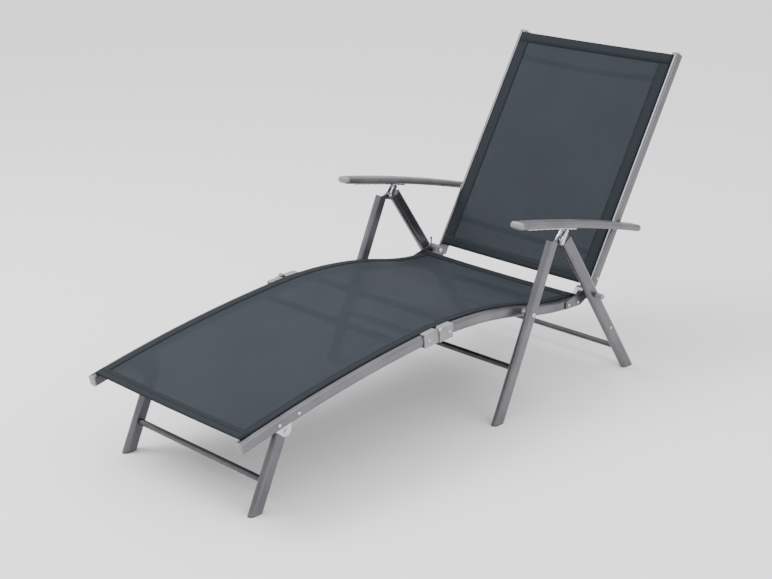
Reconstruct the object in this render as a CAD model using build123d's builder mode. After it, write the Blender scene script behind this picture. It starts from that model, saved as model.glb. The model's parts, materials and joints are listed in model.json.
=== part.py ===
"""Folding garden lounger: an aluminium frame with a reclining back, armrests that ride on
a notched rack, a fold-over legrest and legs that fold away under the seat.

Frame: X across (+X is the sitter's left), Y from foot to head, Z up. The origin is on the
floor, halfway along the lounger. All lengths are millimetres.
"""
import os
from math import atan2, cos, degrees, radians, sin, sqrt, tan

from build123d import *

# ---- driving dimensions, lengthwise positions measured from the foot end ----
HALF_LENGTH = 829.5       # moves the origin from the foot end to the middle
RAIL_X = 275.0            # middle of the seat, legrest and back rails, each side
RAIL_WIDTH = 24.0
RAIL_DEPTH = 30.0
RAIL_CORNER = 8.0
RAIL_WALL = 1.6
SLOT_WIDTH = 2.6          # groove that holds the edge of the fabric
SLOT_DEPTH = 5.0

LEGREST_LENGTH = 640.0
FOOT_RAIL_HEIGHT = 203.0  # rail middle at the foot end
KNEE_RAIL_HEIGHT = 303.0
LEGREST_KNEE_SLOPE = 4.5
SEAT_KNEE_SLOPE = 3.5
KNEE_PIVOT_RISE = 3.0     # fold-over hinge above the rails' upper faces
SEAT_MID = (370.0, -32.0)   # where the seat rail's two bends meet, from the knee
SEAT_END = (595.0, -57.0)   # end of the seat rail, from the knee
RAIL_END_GAP = 1.0
PIVOT_RISE = 18.0         # back pivot above the end of the seat rail
PIVOT_AHEAD = 23.0        # back pivot beyond the end of the seat rail
BACK_OFFSET = 30.0        # back rail middle behind the back pivot
BACK_ANGLE = 59.6
BACK_LENGTH = 728.0

LEG_GAP = 17.0            # between a rail and the leg beside it
LEG_WIDTH = 20.0
LEG_DEPTH = 38.0
LEG_WALL = 1.6
FRONT_LEG_ANGLE = 66.4
FRONT_LEG_TOP = 456.0
REAR_LEG_ANGLE = 125.8
REAR_LEG_TOP = 452.0
REAR_LEG_LEAD = 5.0       # rear leg's middle in front of the back pivot
SEAT_PIVOT_SHARE = 337.0  # front leg pivot, along the seat from the knee
TOP_PIVOT = (450.0, 153.0)   # bolt that joins front and rear leg, from the knee
CROSSBAR = 16.0
CROSSBAR_WALL = 1.5
FRONT_BAR_HEIGHT = 141.0
REAR_BAR_HEIGHT = 72.0
SHOE_HEIGHT = 8.0
SHOE_PLUG = 22.0

FOOT_LEG_X = 240.0
FOOT_LEG_ANGLE = 66.0
FOOT_PIVOT = (155.0, 189.0)
FOOT_BAR_HEIGHT = 74.0

ARM_WIDTH = 42.0
ARM_THICK = 19.0
ARM_FROM_RAIL = 7.0       # clear space between the back rail and the armrest
ARM_FRONT = (268.0, 233.6)   # front and rear ends of the armrest's middle, from the knee
ARM_REAR = (793.0, 119.2)
ARM_REAR_SLOPE = -15.4
ARM_CAP = 8.0
ARM_PIVOT_ALONG = 212.0   # armrest pivot, along the back rail from its lower end
RACK_WIDTH = 12.0
RACK_THICK = 4.6
RACK_PITCH = 24.5
RACK_NOTCHES = 7
RACK_WAVE = 60.0          # radius of each shallow notch
LOCK_PIN = 8.0
LOCK_AHEAD = 22.0         # lock pin behind the top pivot

BOLT = 8.0
BOLT_HEAD = 13.0
BOLT_HEAD_HIGH = 3.2
RIVET = 5.0
RIVET_HEAD = 9.0
RIVET_HEAD_HIGH = 2.4
FIT = 0.05                # radial clearance of a bolt in its hole
CLEAR = 0.3               # clearance between parts that move past each other
FABRIC = 1.6
FABRIC_SIDE = 1.5         # fabric edge short of the slot's middle
SPREADER = 18.0
KNUCKLE = 28.0

# ---- derived places, all in the model's own frame as (Y, Z) ----
LEG_X = RAIL_X + RAIL_WIDTH / 2 + LEG_GAP + LEG_WIDTH / 2
RAIL_OUT = RAIL_X + RAIL_WIDTH / 2
RAIL_IN = RAIL_X - RAIL_WIDTH / 2
LEG_IN = LEG_X - LEG_WIDTH / 2
LEG_OUT = LEG_X + LEG_WIDTH / 2
ARM_X = RAIL_OUT + ARM_FROM_RAIL + ARM_WIDTH / 2
SIDES = {"left": 1, "right": -1}


def turn(angle, length=1.0):
    """A (Y, Z) step of a given length, at an angle above +Y."""
    return (length * cos(radians(angle)), length * sin(radians(angle)))


def move(point, step):
    return (point[0] + step[0], point[1] + step[1])


def on_slope(point, angle, height):
    """The point at a given height on the line through point at that angle."""
    return (point[0] + (height - point[1]) / tan(radians(angle)), height)


KNEE = (LEGREST_LENGTH - HALF_LENGTH, KNEE_RAIL_HEIGHT)
FOOT_END = (-HALF_LENGTH, FOOT_RAIL_HEIGHT)
KNEE_PIVOT = (KNEE[0], KNEE[1] + RAIL_DEPTH / 2 + KNEE_PIVOT_RISE)
SEAT_TAIL = move(KNEE, SEAT_END)
BACK_PIVOT = move(SEAT_TAIL, (PIVOT_AHEAD, PIVOT_RISE))
BACK_START = move(BACK_PIVOT, turn(BACK_ANGLE - 90, BACK_OFFSET))
BACK_TOP = move(BACK_START, turn(BACK_ANGLE, BACK_LENGTH))
ARM_PIVOT = move(BACK_START, turn(BACK_ANGLE, ARM_PIVOT_ALONG))
LEG_PIVOT = move(KNEE, TOP_PIVOT)
REAR_LEG_POINT = move(BACK_PIVOT, turn(REAR_LEG_ANGLE + 90, REAR_LEG_LEAD))
FOOT_LEG_PIVOT = (FOOT_PIVOT[0] - HALF_LENGTH, FOOT_PIVOT[1])

# ---- the bent centre lines ----
with BuildLine(Plane.YZ) as legrest_line:
    TangentArc(KNEE, FOOT_END, tangent=turn(180 + LEGREST_KNEE_SLOPE))
with BuildLine(Plane.YZ) as seat_line:
    bend = TangentArc(KNEE, move(KNEE, SEAT_MID), tangent=turn(SEAT_KNEE_SLOPE))
    TangentArc(move(KNEE, SEAT_MID), SEAT_TAIL, tangent=((bend % 1).Y, (bend % 1).Z))
with BuildLine(Plane.YZ) as arm_line:
    TangentArc(move(KNEE, ARM_REAR), move(KNEE, ARM_FRONT), tangent=turn(180 + ARM_REAR_SLOPE))


def line_at(line, y):
    """Point on a centre line at a lengthwise place, and the line's slope there."""
    low, high = 0.0, 1.0
    rising = (line.line @ 1).Y > (line.line @ 0).Y
    for _ in range(40):
        middle = (low + high) / 2
        if ((line.line @ middle).Y < y) == rising:
            low = middle
        else:
            high = middle
    point = line.line @ middle
    along = line.line % middle
    slope = degrees(atan2(along.Z, along.Y)) if rising else degrees(atan2(-along.Z, -along.Y))
    return (point.Y, point.Z), slope


SEAT_PIVOT = line_at(seat_line, KNEE[0] + SEAT_PIVOT_SHARE)[0]


def side_plane(x):
    """Plane across X, where a sketch's x and y are the model's Y and Z."""
    return Plane.YZ.offset(x)


def rail_profile():
    """Rail section: rounded box tube with a fabric slot in its upper face (local +Y)."""
    RectangleRounded(RAIL_WIDTH, RAIL_DEPTH, RAIL_CORNER)
    inner_top = RAIL_DEPTH / 2 - SLOT_DEPTH - RAIL_WALL
    inner_low = -RAIL_DEPTH / 2 + RAIL_WALL
    with Locations((0, (inner_top + inner_low) / 2)):
        RectangleRounded(RAIL_WIDTH - 2 * RAIL_WALL, inner_top - inner_low,
                         RAIL_CORNER - RAIL_WALL, mode=Mode.SUBTRACT)
    with Locations((0, RAIL_DEPTH / 2)):
        Rectangle(SLOT_WIDTH, 2 * SLOT_DEPTH, mode=Mode.SUBTRACT)


def swept_rail(line, x, start_gap, end_gap, flip):
    """A rail along one of the centre lines, trimmed square at its two ends."""
    path = line.line.moved(Location((x, 0, 0)))
    start = Plane(origin=path @ 0, x_dir=(flip, 0, 0), z_dir=path % 0)
    with BuildPart() as rail:
        with BuildSketch(start):
            rail_profile()
        sweep(path=path)
        for gap, end, way in ((start_gap, 0, 1), (end_gap, 1, -1)):
            cut = Plane(origin=path @ end, z_dir=(path % end) * way).offset(gap)
            split(bisect_by=cut, keep=Keep.TOP)
    return rail.part


def cross_holes(radius, x_low, x_high, points):
    """Cuts holes along X, from one X to another, in the part being built."""
    with BuildSketch(side_plane(x_low)) as circles:
        with Locations(*points):
            Circle(radius)
    extrude(circles.sketch, amount=x_high - x_low, mode=Mode.SUBTRACT)


def pin_along_x(x_low, x_high, point, diameter):
    """Adds a round pin along X to the part being built."""
    with BuildSketch(side_plane(x_low)) as circle:
        with Locations(point):
            Circle(diameter / 2)
    extrude(circle.sketch, amount=x_high - x_low)


def headed_bolt(x_inner, x_outer, point, side, shank=BOLT, head=BOLT_HEAD, high=BOLT_HEAD_HIGH):
    """A bolt along X with a domed head outside x_outer and a low nut inside x_inner."""
    with BuildPart() as bolt:
        pin_along_x(min(side * x_inner, side * x_outer), max(side * x_inner, side * x_outer),
                    point, shank)
        for x, way in ((side * x_outer, side), (side * x_inner, -side)):
            with BuildSketch(side_plane(x)):
                with Locations(point):
                    Circle(head / 2)
            extrude(amount=way * high)
        rims = bolt.edges().filter_by(GeomType.CIRCLE).sort_by(Axis.X)
        fillet([rims[0], rims[-1]], high * 0.6)
    return bolt.part


def rivet(x_inner, x_outer, point, side):
    """A rivet whose domed head sits outside x_outer and whose shank ends at x_inner."""
    with BuildPart() as piece:
        pin_along_x(min(side * x_inner, side * x_outer), max(side * x_inner, side * x_outer),
                    point, RIVET)
        with BuildSketch(side_plane(side * x_outer)):
            with Locations(point):
                Circle(RIVET_HEAD / 2)
        extrude(amount=side * RIVET_HEAD_HIGH)
        rims = piece.edges().filter_by(GeomType.CIRCLE).sort_by(Axis.X)
        fillet(rims[-1 if side > 0 else 0], RIVET_HEAD_HIGH * 0.7)
    return piece.part


def save(part, name):
    """Labels a finished piece and writes its file."""
    part.label = name
    export_step(part, f"parts/{name}.step")


def save_group(pieces, name):
    save(Compound(label=name, children=list(pieces)), name)


os.makedirs("parts", exist_ok=True)

# ---- knee clips: two-part plastic hinges that join legrest and seat ----
CLIP_LENGTH = 50.0
CLIP_FOOT = 3.0           # strips under and over the rail
CLIP_NOSE = 7.0           # the upper strip stops this far short of the knee
CLIP_PLATE = 3.6          # plate beside the rail, and each hinge ear
CLIP_OUT = RAIL_OUT + CLEAR
CLIP_EDGE = {-1: CLIP_OUT + CLIP_PLATE, 1: CLIP_OUT + 2 * CLIP_PLATE + CLEAR}
EAR = 13.0                # hinge ear's diameter
CLIP_RIVET = 36.0         # rivet, along the rail from the knee
KNEE_BOLT = 6.0


def knee_clip(line, way, side):
    """Half of a knee hinge. The seat's half (way 1) laps outside the legrest's ear."""
    far_point, far_slope = line_at(line, KNEE[0] + way * CLIP_LENGTH)
    near_point, near_slope = line_at(line, KNEE[0] + way * RAIL_END_GAP)
    nose_point, nose_slope = line_at(line, KNEE[0] + way * CLIP_NOSE)
    half = RAIL_DEPTH / 2 + CLEAR
    with BuildPart() as clip:
        with BuildSketch(side_plane(side * CLIP_OUT)):
            with BuildLine():
                Polyline(move(near_point, turn(near_slope + 90, half - CLIP_NOSE)),
                         move(nose_point, turn(nose_slope + 90, half + CLIP_FOOT)),
                         move(far_point, turn(far_slope + 90, half + CLIP_FOOT)),
                         move(far_point, turn(far_slope - 90, half + CLIP_FOOT)),
                         move(near_point, turn(near_slope - 90, half + CLIP_FOOT)), close=True)
            make_face()
            if way > 0:
                with Locations(KNEE_PIVOT):
                    Circle(EAR / 2 + CLEAR, mode=Mode.SUBTRACT)
        extrude(amount=side * (CLIP_EDGE[way] - CLIP_OUT))
        with BuildSketch(side_plane(side * (RAIL_IN + CLIP_FOOT))):
            with BuildLine():
                Polyline(move(near_point, turn(near_slope - 90, half)),
                         move(far_point, turn(far_slope - 90, half)),
                         move(far_point, turn(far_slope - 90, half + CLIP_FOOT)),
                         move(near_point, turn(near_slope - 90, half + CLIP_FOOT)), close=True)
            make_face()
        extrude(amount=side * (CLIP_OUT - RAIL_IN - CLIP_FOOT))
        with BuildSketch(side_plane(side * (RAIL_X + CLEAR))):
            with BuildLine():
                Polyline(move(nose_point, turn(nose_slope + 90, half)),
                         move(far_point, turn(far_slope + 90, half)),
                         move(far_point, turn(far_slope + 90, half + CLIP_FOOT)),
                         move(nose_point, turn(nose_slope + 90, half + CLIP_FOOT)), close=True)
            make_face()
        extrude(amount=side * (CLIP_OUT - RAIL_X - CLEAR))
        with BuildSketch(side_plane(side * (CLIP_EDGE[way] - CLIP_PLATE))):
            with Locations(KNEE_PIVOT):
                Circle(EAR / 2)
            with BuildLine():
                Polyline(move(KNEE_PIVOT, (way * EAR / 2, 0)),
                         move(nose_point, (way * EAR, half + CLIP_FOOT)),
                         move(nose_point, (way * EAR, -half / 2)),
                         move(near_point, (0, 0)),
                         move(KNEE_PIVOT, (0, -EAR / 2)), KNEE_PIVOT, close=True)
            make_face()
            with Locations(KNEE_PIVOT):
                Circle(KNEE_BOLT / 2 + FIT, mode=Mode.SUBTRACT)
        extrude(amount=side * CLIP_PLATE)
        rivet_point = line_at(line, KNEE[0] + way * CLIP_RIVET)[0]
        cross_holes(RIVET / 2 + FIT, *sorted((side * RAIL_IN, side * (CLIP_EDGE[way] + 1))),
                    [rivet_point])
    return clip.part


# ---- seat (the body that all else hangs from) and legrest: rails, clips, rivets ----
LEG_BRACKET_RIVETS = [110.0, 170.0]   # on the legrest, from the foot end
SEAT_PLATE_RIVETS = [-58.0, -16.0]    # on the seat rail, from its tail

clips = {"seat": [], "legrest": []}
rivets = {"seat": [], "legrest": []}
knee_bolts = []
foot_rivet_points = [line_at(legrest_line, y - HALF_LENGTH)[0] for y in LEG_BRACKET_RIVETS]
tail_rivet_points = [line_at(seat_line, SEAT_TAIL[0] + y)[0] for y in SEAT_PLATE_RIVETS]
for side_name, side in SIDES.items():
    x_low, x_high = sorted((side * RAIL_X, side * (RAIL_OUT + 1)))
    in_low, in_high = sorted((side * (RAIL_IN - 1), side * (RAIL_OUT + 1)))
    clip_seat = line_at(seat_line, KNEE[0] + CLIP_RIVET)[0]
    clip_legrest = line_at(legrest_line, KNEE[0] - CLIP_RIVET)[0]
    with BuildPart() as seat_rail:
        add(swept_rail(seat_line, side * RAIL_X, RAIL_END_GAP, 0, -1))
        cross_holes(RIVET / 2 + FIT, x_low, x_high, [clip_seat])
        cross_holes(RIVET / 2 + FIT, in_low, in_high, tail_rivet_points)
        cross_holes(BOLT / 2 + FIT, in_low, in_high, [SEAT_PIVOT])
    save(seat_rail.part, f"seat_rail_{side_name}")
    with BuildPart() as legrest_rail:
        add(swept_rail(legrest_line, side * RAIL_X, RAIL_END_GAP, 0, 1))
        cross_holes(RIVET / 2 + FIT, x_low, x_high, [clip_legrest])
        cross_holes(RIVET / 2 + FIT, in_low, in_high, foot_rivet_points)
    save(legrest_rail.part, f"legrest_rail_{side_name}")
    save(knee_clip(seat_line, 1, side), f"knee_clip_seat_{side_name}")
    save(knee_clip(legrest_line, -1, side), f"knee_clip_legrest_{side_name}")
    rivets["seat"].append(rivet(RAIL_OUT - 4, CLIP_EDGE[1], clip_seat, side))
    rivets["legrest"].append(rivet(RAIL_OUT - 4, CLIP_EDGE[-1], clip_legrest, side))
    knee_bolts.append(headed_bolt(CLIP_OUT, CLIP_EDGE[1], KNEE_PIVOT, side, KNEE_BOLT, 10.0, 2.0))
save_group(knee_bolts, "knee_pivot_bolts")


def spreader(point, half_width, diameter=SPREADER, wall=CROSSBAR_WALL):
    """A straight round tube across the frame, closed against the parts at its ends."""
    with BuildPart() as tube:
        with BuildSketch(side_plane(-half_width)):
            with Locations(point):
                Circle(diameter / 2)
                Circle(diameter / 2 - wall, mode=Mode.SUBTRACT)
        extrude(amount=2 * half_width)
    return tube.part


SPREADER_DROP = 3.0       # spreaders sit this far below the rails' middle
for name, line, y in (("legrest_spreader_front", legrest_line, 40.0 - HALF_LENGTH),
                      ("legrest_spreader_rear", legrest_line, KNEE[0] - 90),
                      ("seat_spreader_front", seat_line, KNEE[0] + 90),
                      ("seat_spreader_rear", seat_line, SEAT_TAIL[0] - 90)):
    save(spreader(move(line_at(line, y)[0], (0, -SPREADER_DROP)), RAIL_IN), name)


def fabric_sheet(line, y_low, y_high):
    """A plain sheet lying just above the rails, between two lengthwise places."""
    count = 9
    rows = [line_at(line, y_low + (y_high - y_low) * i / (count - 1)) for i in range(count)]
    lift = RAIL_DEPTH / 2 + CLEAR
    under = [move(point, turn(slope + 90, lift)) for point, slope in rows]
    over = [move(point, turn(slope + 90, lift + FABRIC)) for point, slope in rows]
    with BuildPart() as sheet:
        with BuildSketch(side_plane(-RAIL_X + FABRIC_SIDE)):
            with BuildLine():
                Spline(*under)
                Line(under[-1], over[-1])
                Spline(*over[::-1])
                Line(over[0], under[0])
            make_face()
        extrude(amount=2 * (RAIL_X - FABRIC_SIDE))
    return sheet.part


FABRIC_FOOT = 4.0
FABRIC_TAIL = 10.0
save(fabric_sheet(legrest_line, FOOT_END[0] + FABRIC_FOOT, KNEE[0] - 1), "legrest_fabric")
save(fabric_sheet(seat_line, KNEE[0] + 1, SEAT_TAIL[0] - FABRIC_TAIL), "seat_fabric")

# ---- end caps of the legrest rails ----
CAP_THICK = 4.0
CAP_PLUG = 16.0


def rail_cap(end_point, angle, x):
    """A plastic cap: a rounded lid on the rail's end and a plug inside it."""
    origin = (x, end_point[0], end_point[1])
    out = turn(angle)
    plane = Plane(origin=origin, x_dir=(1, 0, 0), z_dir=(0, out[0], out[1]))
    with BuildPart() as cap:
        with BuildSketch(plane):
            RectangleRounded(RAIL_WIDTH, RAIL_DEPTH, RAIL_CORNER)
        extrude(amount=CAP_THICK)
        lid = cap.faces().filter_by(GeomType.PLANE).sort_by(Axis(origin, (0, out[0], out[1])))[-1]
        fillet(lid.edges(), CAP_THICK * 0.7)
        inner_high = RAIL_DEPTH - SLOT_DEPTH - 2 * RAIL_WALL
        down = -(SLOT_DEPTH / 2) * (1 if plane.y_dir.Z > 0 else -1)
        with BuildSketch(plane):
            with Locations((0, down)):
                RectangleRounded(RAIL_WIDTH - 2 * RAIL_WALL - 2 * CLEAR, inner_high - 2 * CLEAR,
                                 RAIL_CORNER - RAIL_WALL - CLEAR)
        extrude(amount=-CAP_PLUG)
    return cap.part


foot_slope = line_at(legrest_line, FOOT_END[0] + 0.01)[1]
save_group([rail_cap(FOOT_END, 180 + foot_slope, side * RAIL_X) for side in SIDES.values()],
           "legrest_end_caps")

# ---- back pivot: seat fitting, outer cheek with its open saddle, and the pivot bolt ----
A_IN = RAIL_IN - 5.0      # seat knuckle, across
A_OUT = RAIL_IN + 7.0
B_IN = A_OUT + CLEAR      # back knuckle, across
B_OUT = RAIL_OUT - CLEAR
CHEEK_IN = RAIL_OUT + CLEAR
CHEEK_OUT = CHEEK_IN + 3.5
SADDLE_OUT = CHEEK_OUT + 9.0
PLUNGER = 10.0
SADDLE_WALL = 6.0
SADDLE_RIM = 1.5          # open below this height over the pivot, so the pin drops clear
TAIL_COLLAR = 3.0
TAIL_PLUG = 25.0
TAIL_PLUG_CLEAR = 0.7     # looser above and below, because the rail bends there
tail_slope = line_at(seat_line, SEAT_TAIL[0] - 0.01)[1]


def seat_fitting(side):
    """Casting that plugs the seat rail's tail and carries the inner knuckle."""
    plane = Plane(origin=(side * RAIL_X, *SEAT_TAIL), x_dir=(1, 0, 0),
                  z_dir=(0, *turn(tail_slope)))
    down = (SLOT_DEPTH / 2) * (1 if plane.y_dir.Z < 0 else -1)
    inner_high = RAIL_DEPTH - SLOT_DEPTH - 2 * RAIL_WALL
    with BuildPart() as fitting:
        with BuildSketch(plane):
            RectangleRounded(RAIL_WIDTH, RAIL_DEPTH, RAIL_CORNER)
        extrude(amount=TAIL_COLLAR)
        with BuildSketch(plane):
            with Locations((0, down)):
                RectangleRounded(RAIL_WIDTH - 2 * RAIL_WALL - 2 * CLEAR,
                                 inner_high - 2 * TAIL_PLUG_CLEAR,
                                 RAIL_CORNER - RAIL_WALL - CLEAR)
        extrude(amount=-TAIL_PLUG)
        low = min(side * A_IN, side * A_OUT)
        with BuildSketch(side_plane(low)):
            with Locations(BACK_PIVOT):
                Circle(KNUCKLE / 2)
            with BuildLine():
                Polyline(move(SEAT_TAIL, (0, RAIL_DEPTH / 2 - 2)), move(BACK_PIVOT, (-8, 11)),
                         move(BACK_PIVOT, (-4, -13)), move(SEAT_TAIL, (0, -RAIL_DEPTH / 2 + 2)),
                         close=True)
            make_face()
            with Locations(BACK_PIVOT):
                Circle(BOLT / 2 + FIT, mode=Mode.SUBTRACT)
        extrude(amount=A_OUT - A_IN)
        cross_holes(RIVET / 2 + FIT, *sorted((side * (RAIL_IN - 1), side * (RAIL_OUT + 1))),
                    tail_rivet_points[1:])
    return fitting.part


HORN = 30.0               # ball of the saddle's finger horn, above the pivot
HORN_BALL = 8.0


def saddle_cheek(side):
    """Outer plate: pivot ear, open saddle that drops over the release pin, finger horn."""
    with BuildPart() as cheek:
        with BuildSketch(side_plane(side * CHEEK_IN)):
            with Locations(BACK_PIVOT):
                Circle(KNUCKLE / 2)
            with BuildLine():
                Polyline(move(BACK_PIVOT, (0, KNUCKLE / 2)),
                         move(tail_rivet_points[0], (-12, 10)),
                         move(tail_rivet_points[0], (-12, -10)),
                         move(tail_rivet_points[1], (10, -11)),
                         move(BACK_PIVOT, (4, -KNUCKLE / 2 + 0.6)), close=True)
            make_face()
            with Locations(BACK_PIVOT):
                Circle(BOLT / 2 + FIT, mode=Mode.SUBTRACT)
            with Locations(*tail_rivet_points):
                Circle(RIVET / 2 + FIT, mode=Mode.SUBTRACT)
        extrude(amount=side * (CHEEK_OUT - CHEEK_IN))
        reach = PLUNGER / 2 + CLEAR
        with BuildSketch(side_plane(side * CHEEK_OUT)):
            with Locations(BACK_PIVOT):
                Circle(reach + SADDLE_WALL)
                Circle(reach, mode=Mode.SUBTRACT)
            with Locations(move(BACK_PIVOT, (0, SADDLE_RIM - reach - SADDLE_WALL))):
                Rectangle(4 * reach + 2 * SADDLE_WALL, 2 * (reach + SADDLE_WALL),
                          mode=Mode.SUBTRACT)
        extrude(amount=side * (SADDLE_OUT - CHEEK_OUT))
        ball = move(BACK_PIVOT, (0, HORN))
        horn_x = side * (CHEEK_OUT + SADDLE_OUT) / 2
        with BuildSketch(Plane.XY.offset(BACK_PIVOT[1] + reach + SADDLE_WALL / 2)):
            with Locations((horn_x, BACK_PIVOT[0])):
                Circle(2.4)
        extrude(amount=HORN - reach - SADDLE_WALL / 2)
        with Locations((horn_x, *ball)):
            Sphere(HORN_BALL / 2)
    return cheek.part


pivot_bolts = []
seat_fittings = []
for side_name, side in SIDES.items():
    seat_fittings.append(seat_fitting(side))
    save(saddle_cheek(side), f"saddle_cheek_{side_name}")
    with BuildPart() as pivot_bolt:
        pin_along_x(*sorted((side * A_IN, side * CHEEK_OUT)), BACK_PIVOT, BOLT)
        with BuildSketch(side_plane(side * A_IN)):
            with Locations(BACK_PIVOT):
                Circle(BOLT_HEAD / 2)
        extrude(amount=-side * BOLT_HEAD_HIGH)
        ends = pivot_bolt.edges().filter_by(GeomType.CIRCLE).sort_by(Axis.X)
        fillet(ends[0 if side > 0 else -1], BOLT_HEAD_HIGH * 0.6)
    pivot_bolts.append(pivot_bolt.part)
    for point in tail_rivet_points:
        rivets["seat"].append(rivet(RAIL_IN + 3, CHEEK_OUT, point, side))
save_group(pivot_bolts, "back_pivot_bolts")
save_group(seat_fittings, "seat_end_fittings")

# ---- back: rails, fitting, bowed spreaders, fabric, top caps ----
back_up = turn(BACK_ANGLE)


def back_point(along, behind=0.0):
    """A (Y, Z) point by its distance along the back rail and behind its middle line."""
    return move(move(BACK_START, turn(BACK_ANGLE, along)), turn(BACK_ANGLE - 90, behind))


def back_rail(side):
    """Straight back rail with its fabric slot facing the sitter."""
    plane = Plane(origin=(side * RAIL_X, *BACK_START), x_dir=(-1, 0, 0),
                  z_dir=(0, *back_up))
    with BuildPart() as rail:
        with BuildSketch(plane):
            rail_profile()
        extrude(amount=BACK_LENGTH)
        span = sorted((side * (RAIL_IN - 1), side * (RAIL_OUT + 1)))
        cross_holes(BOLT / 2 + FIT, *span, [ARM_PIVOT])
        cross_holes(RIVET / 2 + FIT, *span, [back_point(s) for s in BACK_RIVETS])
    return rail.part


BACK_RIVETS = [22.0, 50.0]


def back_fitting(side):
    """Casting inside the back rail's lower end, with the knuckle that turns on the bolt."""
    plane = Plane(origin=(side * RAIL_X, *BACK_START), x_dir=(-1, 0, 0), z_dir=(0, *back_up))
    inner_high = RAIL_DEPTH - SLOT_DEPTH - 2 * RAIL_WALL
    front = RAIL_DEPTH / 2 + 0.6
    with BuildPart() as fitting:
        with BuildSketch(plane):
            with Locations((0, -SLOT_DEPTH / 2)):
                RectangleRounded(RAIL_WIDTH - 2 * RAIL_WALL - 2 * CLEAR, inner_high - 2 * CLEAR,
                                 RAIL_CORNER - RAIL_WALL - CLEAR)
        extrude(amount=65.0)
        with BuildSketch(plane):
            RectangleRounded(RAIL_WIDTH, RAIL_DEPTH, RAIL_CORNER)
        extrude(amount=-3.0)
        low = min(side * B_IN, side * B_OUT)
        with BuildSketch(side_plane(low)):
            with Locations(BACK_PIVOT):
                Circle(KNUCKLE / 2)
            with BuildLine():
                Polyline(back_point(-3, 10), back_point(-3, -front),
                         move(BACK_PIVOT, turn(BACK_ANGLE - 130, KNUCKLE / 2)),
                         move(BACK_PIVOT, turn(BACK_ANGLE - 180, KNUCKLE / 2)),
                         back_point(-12, -2), back_point(-12, 8), close=True)
            make_face()
            with Locations(BACK_PIVOT):
                Circle(BOLT / 2 + FIT, mode=Mode.SUBTRACT)
        extrude(amount=B_OUT - B_IN)
        cross_holes(RIVET / 2 + FIT, *sorted((side * (RAIL_IN - 1), side * (RAIL_OUT + 1))),
                    [back_point(s) for s in BACK_RIVETS])
    return fitting.part


back_rivets = []
back_fittings = []
arm_bolts = []
for side_name, side in SIDES.items():
    save(back_rail(side), f"back_rail_{side_name}")
    back_fittings.append(back_fitting(side))
    for along in BACK_RIVETS:
        back_rivets.append(rivet(RAIL_IN + 3, RAIL_OUT, back_point(along), side))
save_group(back_rivets, "back_rivets")
save_group(back_fittings, "back_end_fittings")


def bowed_spreader(along, bow):
    """A round tube between the back rails, bent away from the sitter."""
    start = back_point(along)
    middle = back_point(along, bow)
    with BuildPart() as tube:
        with BuildLine() as path:
            ThreePointArc((-RAIL_IN, *start), (0, *middle), (RAIL_IN, *start))
        with BuildSketch(Plane(origin=path.line @ 0, z_dir=path.line % 0)):
            Circle(SPREADER / 2)
            Circle(SPREADER / 2 - CROSSBAR_WALL, mode=Mode.SUBTRACT)
        sweep()
        for way in (1, -1):
            split(bisect_by=Plane.YZ.offset(way * (RAIL_IN - CLEAR)),
                  keep=Keep.BOTTOM if way > 0 else Keep.TOP)
    return tube.part


BACK_BARS = {"back_spreader_top": (BACK_LENGTH - 78, 30.0), "back_spreader_lower": (118.0, 46.0)}
for name, (along, bow) in BACK_BARS.items():
    save(bowed_spreader(along, bow), name)

BACK_FABRIC_LOW = 22.0
BACK_FABRIC_TOP = 6.0
with BuildPart() as back_fabric:
    lift = RAIL_DEPTH / 2 + CLEAR
    with BuildSketch(side_plane(-RAIL_X + FABRIC_SIDE)):
        with BuildLine():
            Polyline(back_point(BACK_FABRIC_LOW, -lift),
                     back_point(BACK_LENGTH - BACK_FABRIC_TOP, -lift),
                     back_point(BACK_LENGTH - BACK_FABRIC_TOP, -lift - FABRIC),
                     back_point(BACK_FABRIC_LOW, -lift - FABRIC), close=True)
        make_face()
    extrude(amount=2 * (RAIL_X - FABRIC_SIDE))
save(back_fabric.part, "back_fabric")
save_group([rail_cap(BACK_TOP, BACK_ANGLE, side * RAIL_X) for side in SIDES.values()],
           "back_top_caps")

# ---- armrests: bent oval bar, end caps, notched rack, pivot bolt on the back rail ----
arm_along = line_at(arm_line, LEG_PIVOT[0] + LOCK_AHEAD)


def arm_bar(side):
    """The armrest's bar: an oval section swept along the bent centre line."""
    path = arm_line.line.moved(Location((side * ARM_X, 0, 0)))
    with BuildPart() as bar:
        with BuildSketch(Plane(origin=path @ 0, x_dir=(1, 0, 0), z_dir=path % 0)):
            RectangleRounded(ARM_WIDTH, ARM_THICK, ARM_THICK * 0.47)
        sweep(path=path)
        hole_span = sorted((side * (ARM_X - ARM_WIDTH / 2 - 1), side * (ARM_X + 4)))
        cross_holes(BOLT / 2 + FIT, *hole_span, [ARM_PIVOT])
    return bar.part


def arm_cap(side, end):
    """A rounded plug on one end of an armrest."""
    path = arm_line.line.moved(Location((side * ARM_X, 0, 0)))
    way = path % end if end else (path % end) * -1
    plane = Plane(origin=path @ end, x_dir=(1, 0, 0), z_dir=way)
    with BuildPart() as cap:
        with BuildSketch(plane) as lid_shape:
            RectangleRounded(ARM_WIDTH, ARM_THICK, ARM_THICK * 0.47)
        extrude(amount=ARM_CAP)
        lid = cap.faces().sort_by(Axis((path @ end), way))[-1]
        fillet(lid.edges(), ARM_CAP * 0.85)
    return cap.part


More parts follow.
